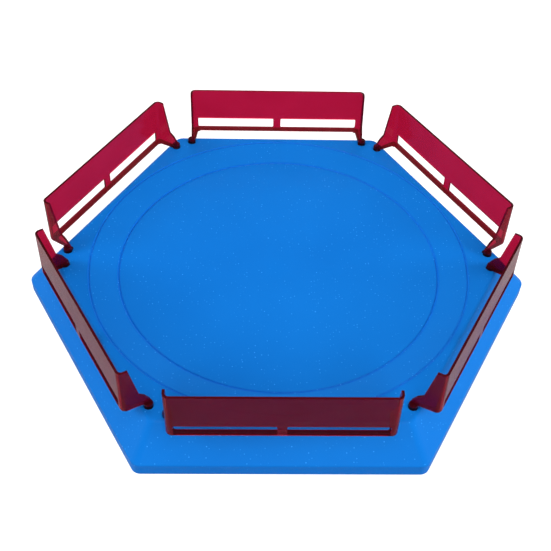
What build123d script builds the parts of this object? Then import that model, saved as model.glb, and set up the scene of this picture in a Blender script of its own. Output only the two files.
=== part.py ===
from build123d import *

import math
import os

# Hexagonal spinning-top arena: one hollow base and six guard rails that plug into its rim.
# Origin at the centre of the footprint, on the table. +Z up, two corners on the X axis, and the
# front and back sides square to Y. All dimensions in millimetres.

# Arena base
FOOT_RADIUS = 190.0         # centre to the sharp corner of the bottom hexagon
FOOT_CORNER = 7.0           # rounding of its corners
LIP_HEIGHT = 9.5            # upright band round the bottom
RIM_RADIUS = 168.5          # centre to the sharp corner of the top hexagon
RIM_CORNER = 7.0
RIM_HEIGHT = 33.0
RIM_EDGE_ROUND = 2.5        # between the rim and the sloping skirt
LIP_EDGE_ROUND = 2.0        # between the skirt and the lip
WALL = 2.4

# Bowl sunk in the top of the base
BOWL_RADIUS = 141.0         # outer ring, level with the rim
FLOOR_RADIUS = 119.7        # inner ring, where the cone meets the shallow floor
FLOOR_EDGE_HEIGHT = 27.6
FLOOR_CENTRE_HEIGHT = 22.8
GROOVE_WIDTH = 1.8
GROOVE_DEPTH = 0.6

# Pegs and their holes, two to each side of the hexagon
PEG_SPREAD = 73.0           # from the middle of the side, along it
PEG_REACH = 141.1           # from the centre, square to the side
PEG_RADIUS = 2.4
PEG_LENGTH = 7.0
PEG_CHAMFER = 0.6
HOLE_RADIUS = 2.5
HOLE_DEPTH = 9.0
SEAT_RADIUS = 3.7           # shallow seat round the hole, for the boss above the peg
SEAT_DEPTH = 1.2
SLEEVE_RADIUS = 5.1         # tube under the rim round each hole
SLEEVE_DEPTH = 11.0

# Guard rail, in the place of the back side
RAIL_HALF = 72.9            # half its length
RAIL_REACH = 158.2          # centre of the arena to the top of the panel's outer face
RAIL_FOOT_REACH = 159.2     # and to its foot, because the panel leans in a little
RAIL_WALL = 1.7
RAIL_TOP = 74.1
RAIL_FLOOR_OUTER = 34.8     # underside of the ledge, at the panel's outer face
RAIL_FLOOR_INNER = 33.6     # and over the pegs
LEDGE_THICKNESS = 1.6
BEND_RADIUS = 4.0           # outside of the bend from the panel to the cheek
FOLD_RADIUS = 2.6           # outside of the rounding under the ledge
LEDGE_WIDTH = 5.1           # along the panel, from its foot
LEDGE_END_WIDTH = 4.9       # along each cheek, where it meets the panel
LEDGE_CORNER = 1.6
LEDGE_CHAMFER = 0.8         # under its free edge
CHEEK_TOP_WIDTH = 6.9
CHEEK_CORNER = 0.8
CHEEK_KNEE = (146.0, 46.7)  # (distance from the centre, height) where the cheek flares to its toe
CHEEK_INSTEP = (142.2, 43.3)
CHEEK_TOE = (139.0, 38.0)
CHEEK_ROUND = 2.0           # at the knee, the instep and the toe
WINDOW_BOTTOM = 36.4        # level with the top of the ledge
WINDOW_TOP = 45.8
WINDOW_END = 67.9
WINDOW_CORNER = 0.8
POST_WIDTH = 6.3
BOSS_RADIUS = 3.1
BOSS_GAP = 0.05             # between its underside and the seat
BOSS_TOP = 36.8
BOSS_ROUND = 1.2            # dome on its top

OVERSHOOT = 1.0             # how far a cut runs past the face that it opens
PICK_SLACK = 0.1            # tolerance when corners are picked by position

# Turn of each rail about Z, from the back side
RAIL_TURNS = {
    "guard_rail_back": 0,
    "guard_rail_back_left": 60,
    "guard_rail_front_left": 120,
    "guard_rail_front": 180,
    "guard_rail_front_right": 240,
    "guard_rail_back_right": 300,
}

os.makedirs("parts", exist_ok=True)


def hexagon(radius, corner):
    """Hexagon with rounded corners, two of them on the X axis."""
    with BuildSketch() as outline:
        RegularPolygon(radius=radius, side_count=6)
        fillet(outline.vertices(), radius=corner)
    return outline.sketch


def tray(inset, height):
    """Lip and sloping skirt as one closed solid, drawn in by inset on every side."""
    shrink = inset / math.cos(math.pi / 6)
    foot = hexagon(FOOT_RADIUS - shrink, FOOT_CORNER - inset)
    rim = hexagon(RIM_RADIUS - shrink, RIM_CORNER - inset)
    with BuildPart() as body:
        with BuildSketch():
            add(foot)
        extrude(amount=LIP_HEIGHT)
        with BuildSketch(Plane.XY.offset(LIP_HEIGHT)):
            add(foot)
        with BuildSketch(Plane.XY.offset(height)):
            add(rim)
        loft()
    return body.part


def bowl(drop, ceiling):
    """Everything above the bowl's surface, moved down by drop."""
    with BuildPart() as space:
        with BuildSketch(Plane.XZ):
            with BuildLine():
                ThreePointArc(
                    (0, FLOOR_CENTRE_HEIGHT - drop),
                    (FLOOR_RADIUS / 2, (3 * FLOOR_CENTRE_HEIGHT + FLOOR_EDGE_HEIGHT) / 4 - drop),
                    (FLOOR_RADIUS, FLOOR_EDGE_HEIGHT - drop),
                )
                Polyline(
                    (FLOOR_RADIUS, FLOOR_EDGE_HEIGHT - drop),
                    (BOWL_RADIUS, RIM_HEIGHT - drop),
                    (BOWL_RADIUS, ceiling),
                    (0, ceiling),
                    (0, FLOOR_CENTRE_HEIGHT - drop),
                )
            make_face()
        revolve(axis=Axis.Z)
    return space.part


def peg_points():
    """The twelve peg positions in plan."""
    points = []
    for turn in RAIL_TURNS.values():
        for side in (-1, 1):
            spot = Vector(side * PEG_SPREAD, PEG_REACH).rotate(Axis.Z, turn)
            points.append((spot.X, spot.Y))
    return points


# Arena base: a thin shell of constant thickness, open underneath
hollow_outline = tray(WALL, RIM_HEIGHT - WALL)
bowl_space = bowl(0, RIM_HEIGHT + OVERSHOOT)
bowl_underside = bowl(WALL, RIM_HEIGHT + OVERSHOOT)
groove_radius = (GROOVE_WIDTH**2 / 4 + GROOVE_DEPTH**2) / (2 * GROOVE_DEPTH)
groove_rise = groove_radius - GROOVE_DEPTH

with BuildPart() as hollow:
    add(hollow_outline)
    add(bowl_underside, mode=Mode.SUBTRACT)
    with BuildSketch(Plane.XY.offset(RIM_HEIGHT - SLEEVE_DEPTH)):
        with Locations(*peg_points()):
            Circle(SLEEVE_RADIUS)
    extrude(amount=SLEEVE_DEPTH, mode=Mode.SUBTRACT)

with BuildPart() as arena_base:
    add(tray(0, RIM_HEIGHT))
    rim_edges = arena_base.faces().sort_by(Axis.Z)[-1].edges()
    fillet(rim_edges, radius=RIM_EDGE_ROUND)
    lip_edges = arena_base.edges().filter_by_position(Axis.Z, LIP_HEIGHT, LIP_HEIGHT)
    fillet(lip_edges, radius=LIP_EDGE_ROUND)
    add(hollow.part, mode=Mode.SUBTRACT)
    add(bowl_space, mode=Mode.SUBTRACT)
    with BuildSketch(Plane.XZ):
        for ring_radius, ring_height in ((FLOOR_RADIUS, FLOOR_EDGE_HEIGHT), (BOWL_RADIUS, RIM_HEIGHT)):
            with Locations((ring_radius, ring_height + groove_rise)):
                Circle(groove_radius)
    revolve(axis=Axis.Z, mode=Mode.SUBTRACT)
    for bore_radius, bore_depth in ((HOLE_RADIUS, HOLE_DEPTH), (SEAT_RADIUS, SEAT_DEPTH)):
        with BuildSketch(Plane.XY.offset(RIM_HEIGHT - bore_depth)):
            with Locations(*peg_points()):
                Circle(bore_radius)
        extrude(amount=bore_depth, mode=Mode.SUBTRACT)

arena_base.part.label = "arena_base"
export_step(arena_base.part, "parts/arena_base.step")

# Guard rail for the back side: a tall panel with bent-in end cheeks over a narrow ledge
front_reach = PEG_REACH - BOSS_RADIUS
ledge_reach = RAIL_FOOT_REACH - LEDGE_WIDTH
floor_slope = (RAIL_FLOOR_OUTER - RAIL_FLOOR_INNER) / (RAIL_FOOT_REACH - PEG_REACH)
ledge_underside = RAIL_FLOOR_OUTER - floor_slope * LEDGE_WIDTH


def rail_block(inset, thickness, top):
    """Closed block with rounded bends, drawn in by inset, its sloping underside raised by thickness."""
    foot = RAIL_FOOT_REACH - inset
    near = front_reach - inset
    with BuildPart() as block:
        with BuildSketch(Plane.YZ):
            with BuildLine():
                Polyline(
                    (near, RAIL_FLOOR_OUTER + thickness - floor_slope * (RAIL_FOOT_REACH - near)),
                    (foot, RAIL_FLOOR_OUTER + thickness - floor_slope * inset),
                    (RAIL_REACH - inset, top),
                    (near, top),
                    close=True,
                )
            make_face()
        extrude(amount=RAIL_HALF - inset, both=True)
        bends = block.faces().sort_by(Axis.Y)[-1].edges().filter_by(Axis.X, reverse=True)
        fillet(bends, radius=BEND_RADIUS - inset)
        folds = block.faces().sort_by(Axis.Z)[0].edges()
        fillet(folds - folds.group_by(Axis.Y)[0], radius=FOLD_RADIUS - inset)
    return block.part


boss_bottom = RIM_HEIGHT - SEAT_DEPTH + BOSS_GAP

with BuildPart() as peg_foot:
    with BuildSketch(Plane.XY.offset(boss_bottom)):
        Circle(BOSS_RADIUS)
    extrude(amount=BOSS_TOP - boss_bottom)
    fillet(peg_foot.faces().sort_by(Axis.Z)[-1].edges(), radius=BOSS_ROUND)
    with BuildSketch(Plane.XY.offset(boss_bottom)):
        Circle(PEG_RADIUS)
    extrude(amount=-PEG_LENGTH)
    chamfer(peg_foot.faces().sort_by(Axis.Z)[0].edges(), length=PEG_CHAMFER)

outer_block = rail_block(0, 0, RAIL_TOP)
inner_block = rail_block(RAIL_WALL, LEDGE_THICKNESS, RAIL_TOP + OVERSHOOT)

with BuildPart() as guard_rail:
    add(outer_block)
    add(inner_block, mode=Mode.SUBTRACT)

    # open middle of the ledge, which leaves a narrow shelf along the panel and each cheek
    with BuildSketch(Plane.XY.offset(RAIL_FLOOR_INNER - OVERSHOOT)) as opening:
        with BuildLine():
            Polyline(
                (-RAIL_HALF + LEDGE_END_WIDTH, ledge_reach),
                (RAIL_HALF - LEDGE_END_WIDTH, ledge_reach),
                (PEG_SPREAD - BOSS_RADIUS, PEG_REACH),
                (PEG_SPREAD - BOSS_RADIUS, front_reach),
                (-PEG_SPREAD + BOSS_RADIUS, front_reach),
                (-PEG_SPREAD + BOSS_RADIUS, PEG_REACH),
                close=True,
            )
        make_face()
        fillet(opening.vertices().group_by(Axis.Y)[-1], radius=LEDGE_CORNER)
    opening_height = OVERSHOOT + RAIL_FLOOR_OUTER - RAIL_FLOOR_INNER + LEDGE_THICKNESS
    extrude(amount=opening_height, mode=Mode.SUBTRACT)

    # chamfer under the free edge of the ledge
    with BuildSketch(Plane.YZ):
        with BuildLine():
            Polyline(
                (ledge_reach - OVERSHOOT, ledge_underside - OVERSHOOT),
                (ledge_reach + LEDGE_CHAMFER + OVERSHOOT, ledge_underside - OVERSHOOT),
                (ledge_reach - OVERSHOOT, ledge_underside + LEDGE_CHAMFER + OVERSHOOT),
                close=True,
            )
        make_face()
    extrude(amount=RAIL_HALF - LEDGE_END_WIDTH - LEDGE_CORNER, both=True, mode=Mode.SUBTRACT)

    # side outline of the cheeks: a slender upright, a knee, and a toe over the peg
    with BuildSketch(Plane.YZ) as cheek:
        with BuildLine():
            Polyline(
                (RAIL_FOOT_REACH + OVERSHOOT, RAIL_FLOOR_INNER - OVERSHOOT),
                (RAIL_FOOT_REACH + OVERSHOOT, RAIL_TOP),
                (RAIL_REACH - CHEEK_TOP_WIDTH, RAIL_TOP),
                CHEEK_KNEE,
                CHEEK_INSTEP,
                CHEEK_TOE,
                (front_reach, RAIL_FLOOR_INNER - OVERSHOOT),
                close=True,
            )
        make_face()
        shaped = cheek.vertices().filter_by_position(
            Axis.Y, CHEEK_TOE[0] - PICK_SLACK, CHEEK_KNEE[0] + PICK_SLACK
        )
        fillet(shaped, radius=CHEEK_ROUND)
        tip = cheek.vertices().group_by(Axis.Z)[-1].sort_by(Axis.Y)[0]
        fillet(tip, radius=CHEEK_CORNER)
    extrude(amount=RAIL_HALF, both=True, mode=Mode.INTERSECT)

    # two windows under the panel, with a post between them
    window_width = WINDOW_END - POST_WIDTH / 2
    window_height = WINDOW_TOP - WINDOW_BOTTOM
    window_middle = (WINDOW_END + POST_WIDTH / 2) / 2
    with BuildSketch(Plane.XZ.offset(-RAIL_FOOT_REACH - OVERSHOOT)):
        with Locations(
            (-window_middle, WINDOW_BOTTOM + window_height / 2),
            (window_middle, WINDOW_BOTTOM + window_height / 2),
        ):
            RectangleRounded(window_width, window_height, WINDOW_CORNER)
    extrude(amount=RAIL_WALL + RAIL_FOOT_REACH - RAIL_REACH + 2 * OVERSHOOT, mode=Mode.SUBTRACT)

    # a boss with its peg under the toe of each cheek
    with Locations((-PEG_SPREAD, PEG_REACH), (PEG_SPREAD, PEG_REACH)):
        add(peg_foot.part)

for name, turn in RAIL_TURNS.items():
    with BuildPart() as placed_rail:
        add(guard_rail.part, rotation=(0, 0, turn))
    placed_rail.part.label = name
    export_step(placed_rail.part, f"parts/{name}.step")
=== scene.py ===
import math

import bpy
from mathutils import Matrix, Vector


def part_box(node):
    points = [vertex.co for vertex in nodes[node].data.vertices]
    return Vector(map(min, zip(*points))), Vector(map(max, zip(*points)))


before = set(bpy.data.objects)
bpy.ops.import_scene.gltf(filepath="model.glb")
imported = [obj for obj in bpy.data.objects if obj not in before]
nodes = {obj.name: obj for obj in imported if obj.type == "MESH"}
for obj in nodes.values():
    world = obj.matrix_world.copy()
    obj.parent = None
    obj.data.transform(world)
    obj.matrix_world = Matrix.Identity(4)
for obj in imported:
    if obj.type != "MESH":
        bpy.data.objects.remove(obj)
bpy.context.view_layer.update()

BASE = "arena_base"
RAILS = sorted(name for name in nodes if name.startswith("guard_rail"))

# Lengths are in metres and colours are linear RGB.

# The base's blue plastic.
BLUE_DEEP = (0.0030, 0.164, 0.610)
BLUE_OPEN = (0.0040, 0.183, 0.660)
# Painted shade: a darker blue in the ring grooves.
BLUE_GROOVE_SHADE = (0.0040, 0.146, 0.640)
BLUE_SPECULAR = 0.07
GROOVE_RADII = (0.1197, 0.1410)
GROOVE_REACH = 0.0018
FLECK_COLOUR = (0.045, 0.36, 0.90)
FLECK_CORE = 0.6                    # share of a fleck's radius that is fully bright
FINE_FLECKS = {"cell": 0.0022, "share": 0.34, "radius": 0.00050}
COARSE_FLECKS = {"cell": 0.0085, "share": 0.16, "radius": 0.00070}

# The rails' clear red plastic.
RED_DEEP = (0.40, 0.009, 0.058)
RED_OPEN = (0.45, 0.013, 0.074)
# Painted shade on rail faces that point up or down, such as top edges and sills.
RED_EDGE_SHADE = (0.24, 0.010, 0.026)
# Painted shade on the rails' feet, where they sit in the base.
RED_FOOT_SHADE = (0.07, 0.012, 0.006)
RED_IOR = 1.25
RED_SPECULAR_TINT = (0.3, 0.3, 0.3, 1.0)
RED_TRANSMISSION = 0.84
RED_DEPTH = (0.86, 0.20, 0.30, 1.0)
RED_DENSITY = 500.0
EDGE_SHADE_TILT = (0.30, 0.60)            # how far up or down a face points as the painted shade sets in
FOOT_ABOVE_RIM = 0.0016             # all of a rail below this height gets painted shade
FOOT_FADE = 0.0014

# The floor, room and lights.
WHITE = (1.0, 1.0, 1.0, 1.0)
FLOOR_DEEP = (0.42, 0.42, 0.42)
FLOOR_OPEN = (0.45, 0.45, 0.45)
FLOOR_GLOW = 0.8
FLOOR_ROUGHNESS = 0.9
FLOOR_SPECULAR = 0.1
FLOOR_REACH = 3.0
FLOOR_DROP = 0.0002
ROOM_DIM = 0.22
ROOM_GLOW = 1.3
ROOM_SIDES = (0.5, 0.95)            # how far to the side a direction points as the glow sets in
ROOM_GLOW_TOP = 0.45                # how far up a direction points where the glow ends
LIGHTS = (                          # name, place, diameter, watts
    ("overhead", (0.0, -0.2, 1.9), 1.6, 11.8),
    ("front_fill", (0.1, -1.5, 1.1), 1.2, 14.4),
    ("back_fill", (0.0, 1.7, 0.9), 1.2, 11.0),
    ("left_fill", (-1.7, -0.2, 0.9), 1.0, 17.0),
    ("right_fill", (1.7, -0.5, 0.7), 1.0, 19.0),
)

# The camera, at the photograph's viewing angle.
CAMERA_PLACE = Vector((-0.0174, -0.4703, 0.5075))
CAMERA_AIM = Vector((0.0268, 0.6903, -0.7230))
CAMERA_ROLL = math.radians(2.08)
CAMERA_SWING = math.radians(0.247)
CAMERA_LENS = 58.1
CAMERA_SENSOR = 36.0
CAMERA_NEAR = 0.01


# Node helpers -----------------------------------------------------------------------------------


def new_material(name):
    """A node material with only a Principled shader and an output."""
    material = bpy.data.materials.new(name)
    material.use_nodes = True
    tree = material.node_tree
    tree.nodes.clear()
    shader = tree.nodes.new("ShaderNodeBsdfPrincipled")
    output = tree.nodes.new("ShaderNodeOutputMaterial")
    tree.links.new(shader.outputs["BSDF"], output.inputs["Surface"])
    return material, tree, shader


def coordinates(tree, kind):
    return tree.nodes.new("ShaderNodeTexCoord").outputs[kind]


def component(tree, vector, axis):
    split = tree.nodes.new("ShaderNodeSeparateXYZ")
    tree.links.new(vector, split.inputs["Vector"])
    return split.outputs[axis]


def noise(tree, where, scale, detail=3.0):
    node = tree.nodes.new("ShaderNodeTexNoise")
    node.inputs["Scale"].default_value = scale
    node.inputs["Detail"].default_value = detail
    tree.links.new(where, node.inputs["Vector"])
    return node.outputs["Fac"]


def remap(tree, value, low, high, to_low=0.0, to_high=1.0):
    """The value's range from low to high, stretched over to_low to to_high and clamped."""
    node = tree.nodes.new("ShaderNodeMapRange")
    node.inputs["From Min"].default_value = low
    node.inputs["From Max"].default_value = high
    node.inputs["To Min"].default_value = to_low
    node.inputs["To Max"].default_value = to_high
    tree.links.new(value, node.inputs["Value"])
    return node.outputs["Result"]


def math_node(tree, operation, first, second=0.0):
    node = tree.nodes.new("ShaderNodeMath")
    node.operation = operation
    for socket, value in zip(node.inputs, (first, second)):
        if isinstance(value, float):
            socket.default_value = value
        else:
            tree.links.new(value, socket)
    return node.outputs["Value"]


def mix_colour(tree, factor, first, second):
    """The first colour where the factor is 0 and the second where it is 1."""
    node = tree.nodes.new("ShaderNodeMix")
    node.data_type = "RGBA"
    tree.links.new(factor, node.inputs["Factor"])
    colour_sockets = [socket for socket in node.inputs if socket.type == "RGBA"]
    for socket, value in zip(colour_sockets, (first, second)):
        if isinstance(value, tuple):
            socket.default_value = (*value, 1.0)
        else:
            tree.links.new(value, socket)
    return next(socket for socket in node.outputs if socket.type == "RGBA")


def bump(tree, shader, height, distance, strength):
    node = tree.nodes.new("ShaderNodeBump")
    node.inputs["Distance"].default_value = distance
    node.inputs["Strength"].default_value = strength
    tree.links.new(height, node.inputs["Height"])
    tree.links.new(node.outputs["Normal"], shader.inputs["Normal"])


def seen_directly(tree):
    """1 where the camera sees the stage, straight or through clear plastic, and 0 in reflections."""
    rays = tree.nodes.new("ShaderNodeLightPath").outputs
    return math_node(tree, "MAXIMUM", rays["Is Camera Ray"], rays["Is Transmission Ray"])


# Materials --------------------------------------------------------------------------------------


def flecks(tree, where, cell, share, radius):
    """1 inside round flecks, which some cells of a grid of that size hold, and 0 elsewhere."""
    cells = tree.nodes.new("ShaderNodeTexVoronoi")
    cells.inputs["Scale"].default_value = 1.0 / cell
    tree.links.new(where, cells.inputs["Vector"])
    near = remap(tree, cells.outputs["Distance"], radius / cell, FLECK_CORE * radius / cell)
    split = tree.nodes.new("ShaderNodeSeparateColor")
    tree.links.new(cells.outputs["Color"], split.inputs["Color"])
    chosen = math_node(tree, "LESS_THAN", split.outputs["Red"], share)
    bright = math_node(tree, "MULTIPLY", near, chosen)
    return math_node(tree, "MULTIPLY", bright, split.outputs["Green"])


def groove_shade(tree, where):
    """1 in the bowl's two ring grooves, where less light reaches, and 0 away from them."""
    flat = tree.nodes.new("ShaderNodeVectorMath")
    flat.operation = "MULTIPLY"
    flat.inputs[1].default_value = (1.0, 1.0, 0.0)
    tree.links.new(where, flat.inputs[0])
    length = tree.nodes.new("ShaderNodeVectorMath")
    length.operation = "LENGTH"
    tree.links.new(flat.outputs["Vector"], length.inputs[0])
    shades = []
    for radius in GROOVE_RADII:
        offset = math_node(tree, "SUBTRACT", length.outputs["Value"], radius)
        shades.append(remap(tree, math_node(tree, "ABSOLUTE", offset), GROOVE_REACH, 0.0))
    return math_node(tree, "MAXIMUM", *shades)


def glitter_blue():
    """Opaque blue plastic with fine metallic flecks moulded into it, and painted shade in its ring
    grooves.
    """
    material, tree, shader = new_material("glitter_blue_plastic")
    where = coordinates(tree, "Object")
    cloudy = remap(tree, noise(tree, where, scale=9.0, detail=4.0), low=0.35, high=0.65)
    open_ground = mix_colour(tree, cloudy, BLUE_DEEP, BLUE_OPEN)
    # The ring grooves get a darker blue as painted shade.
    ground = mix_colour(tree, groove_shade(tree, where), open_ground, BLUE_GROOVE_SHADE)
    fine = flecks(tree, where, **FINE_FLECKS)
    coarse = flecks(tree, where, **COARSE_FLECKS)
    spark = math_node(tree, "MAXIMUM", fine, coarse)
    tree.links.new(mix_colour(tree, spark, ground, FLECK_COLOUR), shader.inputs["Base Color"])
    wear = noise(tree, where, scale=60.0, detail=4.0)
    rough = remap(tree, wear, low=0.3, high=0.7, to_low=0.30, to_high=0.40)
    tree.links.new(rough, shader.inputs["Roughness"])
    shader.inputs["Specular IOR Level"].default_value = BLUE_SPECULAR
    ripple = noise(tree, where, scale=35.0, detail=2.0)
    bump(tree, shader, ripple, distance=0.00012, strength=0.5)
    return material


def clear_red():
    """Glossy clear red plastic with painted shade on its edges that face up or down and on its feet,
    and darker where it is thick.
    """
    material, tree, shader = new_material("clear_red_plastic")
    where = coordinates(tree, "Object")
    cloudy = remap(tree, noise(tree, where, scale=25.0), low=0.3, high=0.7)
    clear = mix_colour(tree, cloudy, RED_DEEP, RED_OPEN)
    # Faces that point up or down get a darker red: painted shade.
    tilt = math_node(tree, "ABSOLUTE", component(tree, coordinates(tree, "Normal"), "Z"))
    edge_shaded = mix_colour(tree, remap(tree, tilt, *EDGE_SHADE_TILT), clear, RED_EDGE_SHADE)
    # The feet below the rim get a near-black red: painted shade.
    foot_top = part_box(BASE)[1][2] + FOOT_ABOVE_RIM
    foot_shade = remap(tree, component(tree, where, "Z"), foot_top + FOOT_FADE, foot_top)
    tree.links.new(mix_colour(tree, foot_shade, edge_shaded, RED_FOOT_SHADE), shader.inputs["Base Color"])
    wear = noise(tree, where, scale=90.0)
    rough = remap(tree, wear, low=0.3, high=0.7, to_low=0.10, to_high=0.18)
    tree.links.new(rough, shader.inputs["Roughness"])
    shader.inputs["IOR"].default_value = RED_IOR
    shader.inputs["Specular Tint"].default_value = RED_SPECULAR_TINT
    shader.inputs["Transmission Weight"].default_value = RED_TRANSMISSION
    ripple = noise(tree, where, scale=18.0, detail=1.0)
    bump(tree, shader, ripple, distance=0.00015, strength=0.4)
    depth = tree.nodes.new("ShaderNodeVolumeAbsorption")
    depth.inputs["Color"].default_value = RED_DEPTH
    depth.inputs["Density"].default_value = RED_DENSITY
    tree.links.new(depth.outputs["Volume"], tree.get_output_node("ALL").inputs["Volume"])
    return material


def floor_white():
    """Matt white that glows only where the camera sees it, so that nothing reflects it."""
    material, tree, shader = new_material("floor_white")
    where = coordinates(tree, "Object")
    tone = mix_colour(tree, noise(tree, where, scale=3.0), FLOOR_DEEP, FLOOR_OPEN)
    tree.links.new(tone, shader.inputs["Base Color"])
    glow = math_node(tree, "MULTIPLY", seen_directly(tree), FLOOR_GLOW)
    tree.links.new(glow, shader.inputs["Emission Strength"])
    shader.inputs["Emission Color"].default_value = WHITE
    shader.inputs["Roughness"].default_value = FLOOR_ROUGHNESS
    shader.inputs["Specular IOR Level"].default_value = FLOOR_SPECULAR
    return material


def paint(node, material):
    """Gives a CAD node that one material."""
    mesh = nodes[node].data
    mesh.materials.clear()
    mesh.materials.append(material)


paint(BASE, glitter_blue())
red = clear_red()
for rail in RAILS:
    paint(rail, red)


# Stage ------------------------------------------------------------------------------------------


def make_floor():
    mesh = bpy.data.meshes.new("floor")
    sides = [(-1, -1), (1, -1), (1, 1), (-1, 1)]
    corners = [(x * FLOOR_REACH, y * FLOOR_REACH, -FLOOR_DROP) for x, y in sides]
    mesh.from_pydata(corners, [], [(0, 1, 2, 3)])
    mesh.materials.append(floor_white())
    floor = bpy.data.objects.new("floor", mesh)
    bpy.context.scene.collection.objects.link(floor)


def disk_light(name, place, diameter, watts):
    """A soft round light that faces the object and isn't reflected in it."""
    data = bpy.data.lights.new(name, "AREA")
    data.shape = "DISK"
    data.size = diameter
    data.energy = watts
    lamp = bpy.data.objects.new(name, data)
    lamp.location = place
    lamp.rotation_mode = "QUATERNION"
    lamp.rotation_quaternion = (-Vector(place)).to_track_quat("-Z", "Y")
    lamp.visible_glossy = False
    bpy.context.scene.collection.objects.link(lamp)


def studio_world():
    """White room in view; in reflections it is dim, with a glow low down on the left and right."""
    world = bpy.data.worlds.new("studio")
    world.use_nodes = True
    tree = world.node_tree
    background = tree.nodes["Background"]
    direction = coordinates(tree, "Generated")
    sideways = math_node(tree, "ABSOLUTE", component(tree, direction, "X"))
    low = remap(tree, component(tree, direction, "Z"), ROOM_GLOW_TOP, 0.0)
    glow = math_node(tree, "MULTIPLY", remap(tree, sideways, *ROOM_SIDES), low)
    level = remap(tree, glow, low=0.0, high=1.0, to_low=ROOM_DIM, to_high=ROOM_GLOW)
    strength = math_node(tree, "MAXIMUM", seen_directly(tree), level)
    tree.links.new(strength, background.inputs["Strength"])
    background.inputs["Color"].default_value = WHITE
    bpy.context.scene.world = world


def make_camera():
    data = bpy.data.cameras.new("camera")
    data.lens = CAMERA_LENS
    data.sensor_width = CAMERA_SENSOR
    data.clip_start = CAMERA_NEAR
    camera = bpy.data.objects.new("camera", data)
    upright = CAMERA_AIM.to_track_quat("-Z", "Y").to_matrix().to_4x4()
    roll = Matrix.Rotation(CAMERA_ROLL, 4, "Z")
    swing = Matrix.Rotation(CAMERA_SWING, 4, "Y")
    camera.matrix_world = Matrix.Translation(CAMERA_PLACE) @ upright @ roll @ swing
    bpy.context.scene.collection.objects.link(camera)
    bpy.context.scene.camera = camera


make_floor()
for light in LIGHTS:
    disk_light(*light)
studio_world()
bpy.context.scene.view_settings.view_transform = "Standard"
make_camera()
